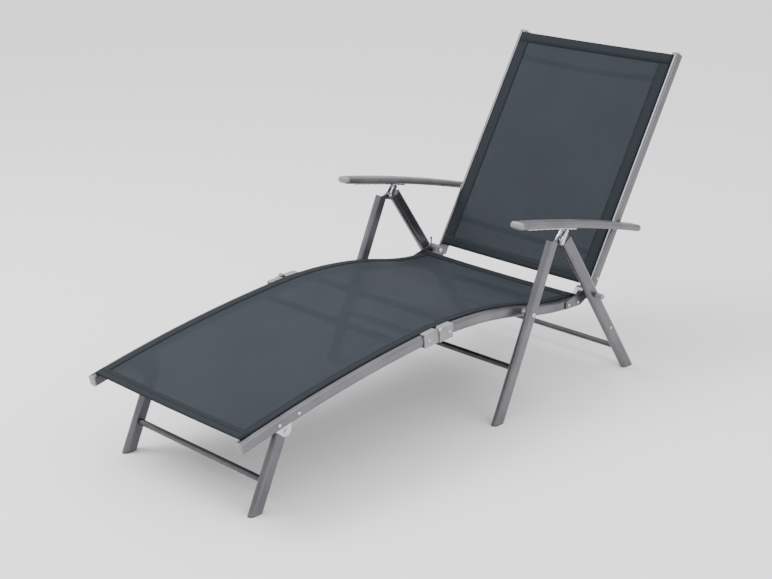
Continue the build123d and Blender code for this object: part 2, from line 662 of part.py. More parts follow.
def arm_rack(side):
    """Metal strip under the armrest with a row of shallow notches for the lock pin."""
    arc = arm_line.edge()
    centre = arc.arc_center
    radius = arc.radius
    inner = radius - ARM_THICK / 2
    start_angle = degrees(atan2(arm_along[0][1] - centre.Z, arm_along[0][0] - centre.Y))
    step = degrees(RACK_PITCH / inner)
    mouth = inner - RACK_THICK
    depth = RACK_PITCH ** 2 / (8 * RACK_WAVE)
    low_angle = start_angle - 1.8 * step
    high_angle = start_angle + (RACK_NOTCHES - 0.4) * step
    with BuildPart() as rack:
        with BuildSketch(side_plane(side * ARM_X - RACK_WIDTH / 2)):
            with BuildLine():
                a = move((centre.Y, centre.Z), turn(low_angle, inner))
                b = move((centre.Y, centre.Z), turn((low_angle + high_angle) / 2, inner))
                c = move((centre.Y, centre.Z), turn(high_angle, inner))
                d = move((centre.Y, centre.Z), turn(high_angle, mouth))
                e = move((centre.Y, centre.Z), turn((low_angle + high_angle) / 2, mouth))
                f = move((centre.Y, centre.Z), turn(low_angle, mouth))
                ThreePointArc(a, b, c)
                Line(c, d)
                ThreePointArc(d, e, f)
                Line(f, a)
            make_face()
            for notch in range(RACK_NOTCHES):
                angle = start_angle + notch * step
                middle = move((centre.Y, centre.Z), turn(angle, mouth + depth - RACK_WAVE))
                with Locations(middle):
                    Circle(RACK_WAVE, mode=Mode.SUBTRACT)
        extrude(amount=RACK_WIDTH)
    return rack.part


arc = arm_line.edge()
lock_radius = arc.radius - ARM_THICK / 2 - RACK_THICK - LOCK_PIN / 2 - CLEAR
arc_middle = (arc.arc_center.Y, arc.arc_center.Z)
lock_angle = degrees(atan2(arm_along[0][1] - arc_middle[1], arm_along[0][0] - arc_middle[0]))
LOCK = move(arc_middle, turn(lock_angle, lock_radius))

for side_name, side in SIDES.items():
    save(arm_bar(side), f"armrest_{side_name}")
    save(arm_rack(side), f"armrest_rack_{side_name}")
    save_group([arm_cap(side, 0), arm_cap(side, 1)], f"armrest_caps_{side_name}")
    with BuildPart() as arm_bolt:
        pin_along_x(*sorted((side * RAIL_IN, side * (ARM_X + 3))), ARM_PIVOT, BOLT)
        with BuildSketch(side_plane(side * RAIL_IN)):
            with Locations(ARM_PIVOT):
                Circle(BOLT_HEAD / 2)
        extrude(amount=-side * BOLT_HEAD_HIGH)
        pin_along_x(*sorted((side * RAIL_OUT, side * (RAIL_OUT + ARM_FROM_RAIL - CLEAR))),
                    ARM_PIVOT, BOLT_HEAD)
    arm_bolts.append(arm_bolt.part)
save_group(arm_bolts, "armrest_pivot_bolts")


# ---- legs: oval tubes with plug shoes, cross bars, top fittings ----
def leg_profile(inset=0.0, mode=Mode.ADD):
    """Oval leg section: local X across the lounger, local Y along it."""
    SlotOverall(LEG_DEPTH - 2 * inset, LEG_WIDTH - 2 * inset, rotation=90, mode=mode)


def leg_tube(x, foot, angle, length, holes, x_holes):
    """An oval tube that stands on its shoe: cut level at its foot and square at its top."""
    plane = Plane(origin=(x, *foot), x_dir=(1, 0, 0), z_dir=(0, *turn(angle)))
    with BuildPart() as leg:
        with BuildSketch(plane.offset(-LEG_DEPTH)):
            leg_profile()
            leg_profile(LEG_WALL, Mode.SUBTRACT)
        extrude(amount=length + LEG_DEPTH)
        split(bisect_by=Plane.XY.offset(SHOE_HEIGHT), keep=Keep.TOP)
        for radius, points in holes:
            cross_holes(radius, *x_holes, points)
    return leg.part


def shoe(x, foot, angle):
    """Plastic plug in a leg's lower end, flat on the floor."""
    plane = Plane(origin=(x, *foot), x_dir=(1, 0, 0), z_dir=(0, *turn(angle)))
    with BuildPart() as outer:
        with BuildSketch(plane.offset(-LEG_DEPTH)):
            leg_profile()
        extrude(amount=3 * LEG_DEPTH)
        split(bisect_by=Plane.XY.offset(SHOE_HEIGHT), keep=Keep.BOTTOM)
        with BuildSketch(plane.offset(-LEG_DEPTH)):
            leg_profile(LEG_WALL + CLEAR)
        extrude(amount=LEG_DEPTH + SHOE_HEIGHT + SHOE_PLUG)
        split(bisect_by=Plane.XY, keep=Keep.TOP)
    return outer.part


front_foot = on_slope(SEAT_PIVOT, FRONT_LEG_ANGLE, 0.0)
front_top = on_slope(SEAT_PIVOT, FRONT_LEG_ANGLE, FRONT_LEG_TOP)
front_bar = on_slope(SEAT_PIVOT, FRONT_LEG_ANGLE, FRONT_BAR_HEIGHT)
rear_foot = on_slope(REAR_LEG_POINT, REAR_LEG_ANGLE, 0.0)
rear_top = on_slope(REAR_LEG_POINT, REAR_LEG_ANGLE, REAR_LEG_TOP)
rear_bar = on_slope(REAR_LEG_POINT, REAR_LEG_ANGLE, REAR_BAR_HEIGHT)
REAR_DOT = on_slope(REAR_LEG_POINT, REAR_LEG_ANGLE, 147.0)


def distance(a, b):
    return sqrt((a[0] - b[0]) ** 2 + (a[1] - b[1]) ** 2)


HEAD_CAP = 5.0
TONGUE = 6.0              # front leg's tongue, across
FORK_GAP = TONGUE + 2 * CLEAR
FORK_EAR = 4.0
EAR_ROUND = 11.0


def leg_head(x, top, angle, ear_spans):
    """Casting that plugs a leg's top and reaches to the shared top pivot with its ears."""
    plane = Plane(origin=(x, *top), x_dir=(1, 0, 0), z_dir=(0, *turn(angle)))
    with BuildPart() as head:
        with BuildSketch(plane):
            leg_profile(LEG_WALL + CLEAR)
        extrude(amount=-35.0)
        with BuildSketch(plane):
            leg_profile()
        extrude(amount=HEAD_CAP)
        near = 1 if LEG_PIVOT[0] > top[0] else -1
        edge = turn(angle - 90 * near)
        across = LEG_DEPTH / 2 - 3
        for low, high in ear_spans:
            with BuildSketch(side_plane(low)):
                with Locations(LEG_PIVOT):
                    Circle(EAR_ROUND)
                with BuildLine():
                    high_side = move(move(top, turn(angle, HEAD_CAP)), (edge[0] * 4, edge[1] * 4))
                    low_side = move(move(top, turn(angle, 0.2)),
                                    (edge[0] * across, edge[1] * across))
                    away = atan2(LEG_PIVOT[1] - top[1], LEG_PIVOT[0] - top[0])
                    up = (EAR_ROUND * cos(away + near * radians(90)),
                          EAR_ROUND * sin(away + near * radians(90)))
                    Polyline(high_side, move(LEG_PIVOT, up), LEG_PIVOT,
                             move(LEG_PIVOT, (-up[0], -up[1])), low_side, top, close=True)
                make_face()
                with Locations(LEG_PIVOT):
                    Circle(BOLT / 2 + FIT, mode=Mode.SUBTRACT)
            extrude(amount=high - low)
    return head.part


front_length = distance(front_foot, front_top)
rear_length = distance(rear_foot, rear_top)
top_bolts, seat_bolts, seat_spacers, front_shoes, rear_shoes, rear_dots = [], [], [], [], [], []
front_heads, rear_heads, lock_brackets, release_pins = [], [], [], []
LOCK_EAR = 2.6
for side_name, side in SIDES.items():
    x = side * LEG_X
    span = (x - LEG_WIDTH, x + LEG_WIDTH)
    save(leg_tube(x, front_foot, FRONT_LEG_ANGLE, front_length,
                  [(BOLT / 2 + FIT, [SEAT_PIVOT])], span), f"front_leg_{side_name}")
    dot_span = sorted((x, side * (LEG_OUT + 1)))
    with BuildPart() as rear_leg:
        add(leg_tube(x, rear_foot, REAR_LEG_ANGLE, rear_length,
                     [(PLUNGER / 2 + FIT, [BACK_PIVOT])], span))
        cross_holes(RIVET / 2 + FIT, *dot_span, [REAR_DOT])
    save(rear_leg.part, f"rear_leg_{side_name}")
    rear_dots.append(rivet(LEG_OUT - 4, LEG_OUT, REAR_DOT, side))
    front_shoes.append(shoe(x, front_foot, FRONT_LEG_ANGLE))
    rear_shoes.append(shoe(x, rear_foot, REAR_LEG_ANGLE))
    tongue = [(x - TONGUE / 2, x + TONGUE / 2)]
    fork = [(x - FORK_GAP / 2 - FORK_EAR, x - FORK_GAP / 2),
            (x + FORK_GAP / 2, x + FORK_GAP / 2 + FORK_EAR)]
    front_heads.append(leg_head(x, front_top, FRONT_LEG_ANGLE, tongue))
    rear_heads.append(leg_head(x, rear_top, REAR_LEG_ANGLE, fork))
    fork_half = FORK_GAP / 2 + FORK_EAR
    bracket_out = fork_half + LOCK_EAR
    top_bolts.append(headed_bolt(LEG_X - bracket_out, LEG_X + bracket_out, LEG_PIVOT, side))
    seat_bolts.append(headed_bolt(RAIL_IN, LEG_OUT, SEAT_PIVOT, side))
    with BuildPart() as spacer_part:
        with BuildSketch(side_plane(side * (RAIL_OUT + CLEAR))):
            with Locations(SEAT_PIVOT):
                Circle(7.0)
                Circle(BOLT / 2 + FIT, mode=Mode.SUBTRACT)
        extrude(amount=side * (LEG_GAP - 2 * CLEAR))
    seat_spacers.append(spacer_part.part)
    # lock bracket: two ears on the top pivot, and the pin that the rack rests on
    with BuildPart() as lock_bracket:
        for low in (x - bracket_out, x + fork_half):
            with BuildSketch(side_plane(low)):
                with Locations(LEG_PIVOT):
                    Circle(EAR_ROUND - 2)
                with Locations(LOCK):
                    Circle(LOCK_PIN / 2 + 1.5)
                across = turn(degrees(atan2(LOCK[1] - LEG_PIVOT[1], LOCK[0] - LEG_PIVOT[0])) + 90)
                wide, slim = EAR_ROUND - 2.5, LOCK_PIN / 2 + 1
                with BuildLine():
                    Polyline(move(LEG_PIVOT, (across[0] * wide, across[1] * wide)),
                             move(LOCK, (across[0] * slim, across[1] * slim)),
                             move(LOCK, (-across[0] * slim, -across[1] * slim)),
                             move(LEG_PIVOT, (-across[0] * wide, -across[1] * wide)), close=True)
                make_face()
                with Locations(LEG_PIVOT):
                    Circle(BOLT / 2 + FIT, mode=Mode.SUBTRACT)
            extrude(amount=LOCK_EAR)
        pin_along_x(x - bracket_out, x + bracket_out, LOCK, LOCK_PIN)
    lock_brackets.append(lock_bracket.part)
    # release pin: knob outside the rear leg, pin through it into the saddle
    with BuildPart() as release_pin:
        pin_along_x(*sorted((side * (CHEEK_OUT + CLEAR), side * LEG_OUT)), BACK_PIVOT, PLUNGER)
        pin_along_x(*sorted((side * (LEG_OUT + CLEAR), side * (LEG_OUT + 22))), BACK_PIVOT, 15.0)
        pin_along_x(*sorted((side * LEG_OUT, side * (LEG_OUT + 4))), BACK_PIVOT, PLUNGER)
        rims = release_pin.edges().filter_by(GeomType.CIRCLE).sort_by(Axis.X)
        fillet(rims[-1 if side > 0 else 0], 1.5)
    release_pins.append(release_pin.part)
save_group(front_heads, "front_leg_heads")
save_group(rear_heads, "rear_leg_heads")
save_group(lock_brackets, "lock_brackets")
save_group(release_pins, "release_pins")
save_group(top_bolts, "top_pivot_bolts")
save_group(seat_bolts, "seat_pivot_bolts")
save_group(seat_spacers, "seat_pivot_spacers")
save_group(front_shoes, "front_leg_shoes")
save_group(rear_shoes, "rear_leg_shoes")
save_group(rear_dots, "rear_leg_rivets")
save(spreader(front_bar, LEG_IN, CROSSBAR), "front_leg_crossbar")
save(spreader(rear_bar, LEG_IN, CROSSBAR), "rear_leg_crossbar")

# ---- foot legs under the legrest, and the brackets that carry them ----
foot_foot = on_slope(FOOT_LEG_PIVOT, FOOT_LEG_ANGLE, 0.0)
foot_top = move(FOOT_LEG_PIVOT, turn(FOOT_LEG_ANGLE, 14.0))
foot_bar = on_slope(FOOT_LEG_PIVOT, FOOT_LEG_ANGLE, FOOT_BAR_HEIGHT)
foot_length = distance(foot_foot, foot_top)
FOOT_IN = FOOT_LEG_X - LEG_WIDTH / 2
FOOT_OUT = FOOT_LEG_X + LEG_WIDTH / 2
foot_shoes, foot_bolts, foot_brackets = [], [], []
for side_name, side in SIDES.items():
    x = side * FOOT_LEG_X
    save(leg_tube(x, foot_foot, FOOT_LEG_ANGLE, foot_length,
                  [(BOLT / 2 + FIT, [FOOT_LEG_PIVOT])], (x - LEG_WIDTH, x + LEG_WIDTH)),
         f"foot_leg_{side_name}")
    foot_shoes.append(shoe(x, foot_foot, FOOT_LEG_ANGLE))
    foot_bolts.append(headed_bolt(FOOT_IN, RAIL_IN - 4.0, FOOT_LEG_PIVOT, side))
    with BuildPart() as bracket:
        low_rivet, high_rivet = foot_rivet_points
        with BuildSketch(side_plane(side * (FOOT_OUT + CLEAR))):
            with BuildLine():
                Polyline(move(low_rivet, (-11, 8)), move(high_rivet, (11, 9)),
                         move(high_rivet, (11, -9)), move(FOOT_LEG_PIVOT, (13, -6)),
                         move(FOOT_LEG_PIVOT, (6, -13)), move(FOOT_LEG_PIVOT, (-8, -11)),
                         move(low_rivet, (-11, -10)), close=True)
            make_face()
            with Locations(FOOT_LEG_PIVOT):
                Circle(BOLT / 2 + FIT, mode=Mode.SUBTRACT)
        extrude(amount=side * (RAIL_IN - 4.0 - FOOT_OUT - CLEAR))
        with BuildSketch(side_plane(side * (RAIL_IN - 4.0))):
            with BuildLine():
                Polyline(move(low_rivet, (-11, 8)), move(high_rivet, (11, 9)),
                         move(high_rivet, (11, -9)), move(low_rivet, (-11, -10)), close=True)
            make_face()
        extrude(amount=side * 4.0)
        cross_holes(RIVET / 2 + FIT, *sorted((side * (RAIL_IN - 3), side * (RAIL_IN + 1))),
                    foot_rivet_points)
    foot_brackets.append(bracket.part)
    for point in foot_rivet_points:
        rivets["legrest"].append(rivet(RAIL_IN - 3, RAIL_OUT, point, side))
save_group(foot_shoes, "foot_leg_shoes")
save_group(foot_bolts, "foot_leg_pivot_bolts")
save_group(foot_brackets, "foot_leg_brackets")
save(spreader(foot_bar, FOOT_IN, CROSSBAR), "foot_leg_crossbar")
save_group(rivets["seat"], "seat_rivets")
save_group(rivets["legrest"], "legrest_rivets")
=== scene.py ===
# %% [markdown]
# # A folding sun lounger, from bare frame to finished picture
#
# The tubes, hinges, bolts and armrests arrive as a fixed frame of exact parts. Three things
# are added here: the stretched mesh fabric with its sewn hems and stitches, a real finish for
# every part, and the floor, light and camera.

# %% Load the frame
import json
import math

import bpy
from mathutils import Matrix, Vector


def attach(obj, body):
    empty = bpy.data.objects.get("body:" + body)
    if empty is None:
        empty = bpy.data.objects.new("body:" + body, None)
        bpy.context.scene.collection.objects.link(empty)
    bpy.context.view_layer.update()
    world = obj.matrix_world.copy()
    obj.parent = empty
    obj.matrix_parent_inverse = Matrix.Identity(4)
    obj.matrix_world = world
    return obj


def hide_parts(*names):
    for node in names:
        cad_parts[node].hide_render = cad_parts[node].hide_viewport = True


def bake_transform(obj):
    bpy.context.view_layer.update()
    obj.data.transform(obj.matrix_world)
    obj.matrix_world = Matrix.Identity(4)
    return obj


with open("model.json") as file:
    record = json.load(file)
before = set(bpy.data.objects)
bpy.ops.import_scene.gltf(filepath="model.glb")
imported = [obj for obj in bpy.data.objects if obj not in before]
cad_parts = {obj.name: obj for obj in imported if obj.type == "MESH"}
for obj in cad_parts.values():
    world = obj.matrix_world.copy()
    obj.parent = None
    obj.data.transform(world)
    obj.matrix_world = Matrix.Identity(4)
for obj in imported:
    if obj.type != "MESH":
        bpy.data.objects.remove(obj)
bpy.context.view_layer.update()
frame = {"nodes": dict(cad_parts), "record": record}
nodes = frame["nodes"]

# %% [markdown]
# ## Two small helpers for materials
#
# A colour is easiest to choose as the sRGB hex value a designer would write down, but the
# shader works in linear light, so one function converts it. A second function adds a node
# with its settings and its links in one line. That keeps each finish short enough to read.

# %% Colour and node helpers
def linear(hex_value, alpha=1.0):
    """An sRGB hex colour such as "8f9094" as linear RGBA."""
    channels = [int(hex_value[i:i + 2], 16) / 255 for i in (0, 2, 4)]
    return [c / 12.92 if c <= 0.04045 else ((c + 0.055) / 1.055) ** 2.4 for c in channels] + [alpha]


def add_node(tree, kind, settings=None, **inputs):
    """Adds a node. Each input is a value, or a (node, output) pair to link from.

    An input is named by its label, with _ for a space. Where labels repeat or are missing, i0,
    i1 and so on name it by its place: on a Map Range node i0 is the value, i1 and i2 are the
    range it comes from and i3 and i4 the range it goes to; on a Mix node i0 is the share and
    i2 and i3 are the two values.
    """
    new = tree.nodes.new(kind)
    for key, value in (settings or {}).items():
        setattr(new, key, value)
    for key, value in inputs.items():
        place = int(key[1:]) if key[0] == "i" and key[1:].isdigit() else key.replace("_", " ")
        if isinstance(value, tuple) and isinstance(value[0], bpy.types.Node):
            tree.links.new(value[0].outputs[value[1]], new.inputs[place])
        else:
            new.inputs[place].default_value = value
    return new


def new_finish(name, colour, roughness, metallic=0.0):
    """A material with one Principled shader, and that shader."""
    material = bpy.data.materials.new(name)
    material.use_nodes = True
    shader = material.node_tree.nodes["Principled BSDF"]
    shader.inputs["Base Color"].default_value = linear(colour)
    shader.inputs["Roughness"].default_value = roughness
    shader.inputs["Metallic"].default_value = metallic
    return material, shader


def tint_between(tree, shader, factor, dark, light, low=0.3, high=0.7):
    """Runs the base colour from dark to light as factor goes from low to high."""
    ramp = add_node(tree, "ShaderNodeValToRGB", Fac=factor)
    ramp.color_ramp.elements[0].position = low
    ramp.color_ramp.elements[0].color = linear(dark)
    ramp.color_ramp.elements[1].position = high
    ramp.color_ramp.elements[1].color = linear(light)
    tree.links.new(ramp.outputs["Color"], shader.inputs["Base Color"])


# %% [markdown]
# ## Powder-coated aluminium
#
# The tubes are extruded aluminium with a baked grey powder coat that has fine metal flake in
# it. Up close such a coat is not smooth: it has a shallow orange-peel ripple about 1.5 mm
# across, and the flake makes it slightly mottled. The eye reads this as a soft, wide
# highlight. Noise on Object coordinates gives both, because the ripple has no direction.

# %% Powder coat
PEEL = 0.0015      # metres across one ripple
FLAKE = 0.0006     # real flake is under 0.1 mm, drawn coarser so that it shows at all
COAT_CLOUDS = 9.0  # slow changes of tone along a tube, per metre
FLAKE_SHARE = 0.35


def powder_coat(name, dark, light, roughness=0.36):
    """Grey metal-flake powder coat over aluminium."""
    material, shader = new_finish(name, light, roughness, metallic=0.8)
    tree = material.node_tree
    place = add_node(tree, "ShaderNodeTexCoord")
    peel = add_node(tree, "ShaderNodeTexNoise", Vector=(place, "Object"), Scale=1 / PEEL, Detail=2.0)
    flake = add_node(tree, "ShaderNodeTexNoise", Vector=(place, "Object"), Scale=1 / FLAKE, Detail=1.0)
    cloud = add_node(tree, "ShaderNodeTexNoise", Vector=(place, "Object"), Scale=COAT_CLOUDS, Detail=3.0)
    both = add_node(tree, "ShaderNodeMix", {"data_type": "FLOAT"},
                    i0=FLAKE_SHARE, i2=(cloud, "Fac"), i3=(flake, "Fac"))
    tint_between(tree, shader, (both, 0), dark, light)
    wear = add_node(tree, "ShaderNodeMapRange", i0=(cloud, "Fac"), i1=0.3, i2=0.7,
                    i3=roughness - 0.05, i4=roughness + 0.09)
    tree.links.new(wear.outputs[0], shader.inputs["Roughness"])
    ripple = add_node(tree, "ShaderNodeBump", Height=(peel, "Fac"), Strength=0.12, Distance=0.0002)
    tree.links.new(ripple.outputs["Normal"], shader.inputs["Normal"])
    return material


frame_coat = powder_coat("powder_coated_aluminium_grey", "58575c", "77767b", 0.3)
# Crossbars and spreaders get a darker copy of the frame's coat. This is painted shade for the bars that lie
# in shade behind the fabric.
shaded_bar_coat = powder_coat("powder_coated_aluminium_crossbars_painted_shade", "48474c", "626166", 0.36)

# %% [markdown]
# ## Moulded plastics and zinc-plated steel
#
# The armrests and clips are moulded nylon or polypropylene in the frame's grey. A mould leaves
# a fine spark-eroded grain, here drawn 0.9 mm wide, and a broad, dull highlight with no metal
# in it. The shoes are the same plastic, darkened with painted contact shade in the 5 mm where they meet the
# ground. Bolts and
# rivets are zinc plated: bright and metallic, with the faint cloudiness of the plating.

# %% Plastics and steel
GRAIN = 0.0009          # metres across one grain
PLASTIC_CLOUDS = 14.0   # slow changes of tone across a moulding, per metre
PLATING_CLOUDS = 260.0  # the same on zinc, per metre


def moulded_plastic(name, dark, light, roughness, contact_shade_height=0.0):
    """Spark-grained plastic, optionally darkened with painted contact shade below a height above the floor.
    """
    material, shader = new_finish(name, light, roughness)
    tree = material.node_tree
    shader.inputs["IOR"].default_value = 1.5
    place = add_node(tree, "ShaderNodeTexCoord")
    grain = add_node(tree, "ShaderNodeTexNoise", Vector=(place, "Object"), Scale=1 / GRAIN, Detail=2.0)
    cloud = add_node(tree, "ShaderNodeTexNoise", Vector=(place, "Object"), Scale=PLASTIC_CLOUDS, Detail=4.0)
    factor = (cloud, "Fac")
    # Painted contact shade: the colour darkens towards the floor within this height.
    if contact_shade_height:
        axes = add_node(tree, "ShaderNodeSeparateXYZ", Vector=(place, "Object"))
        rise = add_node(tree, "ShaderNodeMapRange", i0=(axes, "Z"), i1=0.0, i2=contact_shade_height, i3=0.0, i4=1.0)
        contact_shaded = add_node(tree, "ShaderNodeMath", {"operation": "MULTIPLY"}, i0=(rise, 0), i1=factor)
        factor = (contact_shaded, 0)
    tint_between(tree, shader, factor, dark, light, 0.2, 0.65)
    bump = add_node(tree, "ShaderNodeBump", Height=(grain, "Fac"), Strength=0.2, Distance=0.00015)
    tree.links.new(bump.outputs["Normal"], shader.inputs["Normal"])
    return material


armrest_plastic = moulded_plastic("moulded_nylon_armrest_grey", "49484c", "605f63", 0.36)
cap_plastic = moulded_plastic("moulded_nylon_caps_light_grey", "6a6a6e", "838387", 0.36)
clip_plastic = moulded_plastic("moulded_nylon_clips_light_grey", "6e6e71", "88888b", 0.36)
# The shoes' bottom 5 mm is darkened as painted contact shade where they meet the floor.
shoe_plastic = moulded_plastic("moulded_polypropylene_shoes", "4a4a4e", "66666a", 0.42, 0.005)

zinc, zinc_shader = new_finish("zinc_plated_steel", "c4c4c6", 0.28, 1.0)
zinc_tree = zinc.node_tree
zinc_place = add_node(zinc_tree, "ShaderNodeTexCoord")
zinc_fog = add_node(zinc_tree, "ShaderNodeTexNoise", Vector=(zinc_place, "Object"),
                    Scale=PLATING_CLOUDS, Detail=3.0)
tint_between(zinc_tree, zinc_shader, (zinc_fog, "Fac"), "a9a9ad", "d2d2d4")
zinc_rough = add_node(zinc_tree, "ShaderNodeMapRange", i0=(zinc_fog, "Fac"), i1=0.3, i2=0.7, i3=0.2, i4=0.38)
zinc_tree.links.new(zinc_rough.outputs[0], zinc_shader.inputs["Roughness"])

# %% [markdown]
# ## Dressing the hard parts
#
# Every part of the frame keeps its exact shape and only receives a finish. Sorting by a word
# in the part's name is quicker to check than a list of sixty names.

# %% Give each hard part its finish
finish_by_word = [
    ("fabric", None),
    ("bolts", zinc),
    ("rivets", zinc),
    ("rack", zinc),
    ("shoes", shoe_plastic),
    ("armrest_caps", cap_plastic),
    ("armrest_", armrest_plastic),
    ("caps", cap_plastic),
    ("knee_clip", clip_plastic),
    ("release_pins", clip_plastic),
    ("spacers", cap_plastic),
    ("crossbar", shaded_bar_coat),
    ("spreader", shaded_bar_coat),
]
for name, part in nodes.items():
    finish = next((f for word, f in finish_by_word if word in name), frame_coat)
    if finish is None:
        continue
    if not part.data.materials:
        part.data.materials.append(finish)
    for place in part.material_slots:
        place.material = finish
print("finished", len(nodes), "hard parts")

# %% [markdown]
# ## Mesh fabric
#
# The bed and back are textilene: PVC-coated polyester yarn in a basket weave, about 1.2 mm
# between yarns. It is cut flat, welded over a cord at each long edge, and pulled into slots
# on the rails. Two finishes are needed: the open mesh, which lets a little light through, and
# the doubled hems, which are closed. The mesh's lighter colour is partly the cloth's own colour and partly
# painted light from the bright backdrop showing through the weave. The weave is worked out on the cloth's
# own map, in metres along and across, so that it follows the bends. One yarn is drawn 3 mm wide,
# coarser than life, because the true weave would vanish at this distance.

# %% Woven finish
YARN = 0.003
DRIFT_SHARE = 0.35   # how much of the tone is slow fading and how much is the weave
THREAD_PLY = 900.0   # turns of tone along a thread, per metre


def woven_mesh(name, dark, light, see_through):
    """Basket weave of coated yarn on the piece's own map."""
    material, shader = new_finish(name, light, 0.7)
    tree = material.node_tree
    shader.inputs["Specular IOR Level"].default_value = 0.22
    shader.inputs["Alpha"].default_value = see_through
    cloth = add_node(tree, "ShaderNodeUVMap", {"uv_map": "cloth"})
    axes = add_node(tree, "ShaderNodeSeparateXYZ", Vector=(cloth, "UV"))
    rounds = []
    for axis in ("X", "Y"):
        phase = add_node(tree, "ShaderNodeMath", {"operation": "MULTIPLY"},
                         i0=(axes, axis), i1=math.pi / YARN)
        wave = add_node(tree, "ShaderNodeMath", {"operation": "SINE"}, i0=(phase, 0))
        rounds.append(add_node(tree, "ShaderNodeMath", {"operation": "ABSOLUTE"}, i0=(wave, 0)))
    over = add_node(tree, "ShaderNodeTexChecker", Vector=(cloth, "UV"), Scale=1 / YARN)
    yarn = add_node(tree, "ShaderNodeMix", {"data_type": "FLOAT"},
                    i0=(over, "Fac"), i2=(rounds[0], 0), i3=(rounds[1], 0))
    drift = add_node(tree, "ShaderNodeTexNoise", Vector=(cloth, "UV"), Scale=5.0, Detail=3.0)
    shade = add_node(tree, "ShaderNodeMix", {"data_type": "FLOAT"},
                     i0=DRIFT_SHARE, i2=(yarn, 0), i3=(drift, "Fac"))
    tint_between(tree, shader, (shade, 0), dark, light, 0.15, 0.9)
    relief = add_node(tree, "ShaderNodeBump", Height=(yarn, 0), Strength=0.35, Distance=0.0005)
    tree.links.new(relief.outputs["Normal"], shader.inputs["Normal"])
    return material


# The mesh's colours are lighter than the hem's. Part of that is painted light, for the backdrop showing
# through the open weave.
mesh_cloth = woven_mesh("textilene_mesh_slate", "11161b", "29313a", 0.92)
hem_cloth = woven_mesh("textilene_hem_doubled", "0b0f13", "1c242b", 1.0)
thread, thread_shader = new_finish("polyester_thread_slate", "1f262d", 0.8)
thread_place = add_node(thread.node_tree, "ShaderNodeTexCoord")
thread_ply = add_node(thread.node_tree, "ShaderNodeTexNoise",
                      Vector=(thread_place, "Object"), Scale=THREAD_PLY)
tint_between(thread.node_tree, thread_shader, (thread_ply, "Fac"), "171d23", "262e36")

# %% [markdown]
# ## The line the fabric follows
#
# The fabric lies on the rails, so it needs the rails' bends. Each bend is one circular arc
# between two points, leaving the first at a known angle, which is how a tube bender works.
# A list of rows, each with a point and a heading, is enough to build any strip of cloth. The
# rails' places are measured from the frame's own hinges: the knee hinge for the bed, and the
# recline hinge for the back.

# %% Rows along the bends
hinges = {joint["name"]: joint["pos_m"][1:] for joint in frame["record"]["behaviour"]["joints"]}
RAIL_HALF_DEPTH = 0.015
LIFT = RAIL_HALF_DEPTH + 0.0011        # from the rails' middle line to the middle of the cloth
KNEE = (hinges["legrest_fold"][0], hinges["legrest_fold"][1] - 0.018)
LEGREST_END = (KNEE[0] - 0.640, KNEE[1] - 0.100)
SEAT_MIDDLE = (KNEE[0] + 0.370, KNEE[1] - 0.032)
SEAT_TAIL = (KNEE[0] + 0.595, KNEE[1] - 0.057)
LEGREST_HEADING = math.radians(184.5)  # of the middle line at the knee, towards the feet
SEAT_HEADING = math.radians(3.5)       # of the middle line at the knee, towards the head
FOOT_MARGIN = 0.002                    # bare rail left at each end of the bed's cloth
TAIL_MARGIN = 0.008
BACK_ANGLE = math.radians(59.6)
BACK_OFFSET = 0.030                    # from the recline hinge square to the back's middle line
BACK_MARGIN = 0.022
BACK_STEP = 0.010
BACK_ROWS = 71


def bend(start, end, heading, count):
    """Rows (y, z, heading in radians) along one arc that leaves start at heading."""
    chord = math.hypot(end[0] - start[0], end[1] - start[1])
    half = math.atan2(end[1] - start[1], end[0] - start[0]) - heading
    half = (half + math.pi) % (2 * math.pi) - math.pi
    radius = chord / (2 * math.sin(half))
    rows = []
    for i in range(count + 1):
        now = heading + 2 * half * i / count
        rows.append((start[0] + radius * (math.sin(now) - math.sin(heading)),
                     start[1] - radius * (math.cos(now) - math.cos(heading)), now))
    return rows


leg_rows = bend(KNEE, LEGREST_END, LEGREST_HEADING, 64)
leg_rows = [(y, z, h - math.pi) for y, z, h in reversed(leg_rows)]
seat_rows = bend(KNEE, SEAT_MIDDLE, SEAT_HEADING, 38)
seat_rows += bend(SEAT_MIDDLE, SEAT_TAIL, seat_rows[-1][2], 23)[1:]
bed_rows = [row for row in leg_rows + seat_rows[1:]
            if LEGREST_END[0] + FOOT_MARGIN < row[0] < SEAT_TAIL[0] - TAIL_MARGIN]

back_start = (hinges["back_recline"][0] + BACK_OFFSET * math.cos(BACK_ANGLE - math.pi / 2),
              hinges["back_recline"][1] + BACK_OFFSET * math.sin(BACK_ANGLE - math.pi / 2))
back_rows = []
for i in range(BACK_ROWS):
    along = BACK_MARGIN + BACK_STEP * i
    back_rows.append((back_start[0] + along * math.cos(BACK_ANGLE),
                      back_start[1] + along * math.sin(BACK_ANGLE), BACK_ANGLE))


def run_length(rows):
    """Length of the line through the rows."""
    return sum(math.hypot(b[0] - a[0], b[1] - a[1]) for a, b in zip(rows, rows[1:]))


print("bed", round(run_length(bed_rows), 3), "m long; back", round(run_length(back_rows), 3), "m long")

# %% [markdown]
# ## A strip of stretched cloth
#
# A stretched sling is nearly flat across, with a shallow dip in the middle, where a loose
# cloth would need a simulation to find its folds. So the shape is set directly: straight at
# the rails, and sagging a few millimetres along a parabola. The same function makes the hems,
# as narrow strips laid on the main cloth, because a hem follows the cloth it is sewn to.

# %% Build strips of cloth
HALF_WIDTH = 0.2735
CLOTH = 0.0008


def dip(x, share, sag):
    """How far the cloth hangs below the rails at x. share runs from 0 to 1 along it."""
    ends = 0.55 + 0.45 * math.sin(math.pi * share)
    return sag * ends * (1 - (x / HALF_WIDTH) ** 2)


def point_over(rows, i, x, sag, raise_by):
    """The point at x on row i, raised above the main cloth."""
    y, z, heading = rows[i]
    up = LIFT + raise_by - dip(x, i / (len(rows) - 1), sag)
    return x, y - up * math.sin(heading), z + up * math.cos(heading)


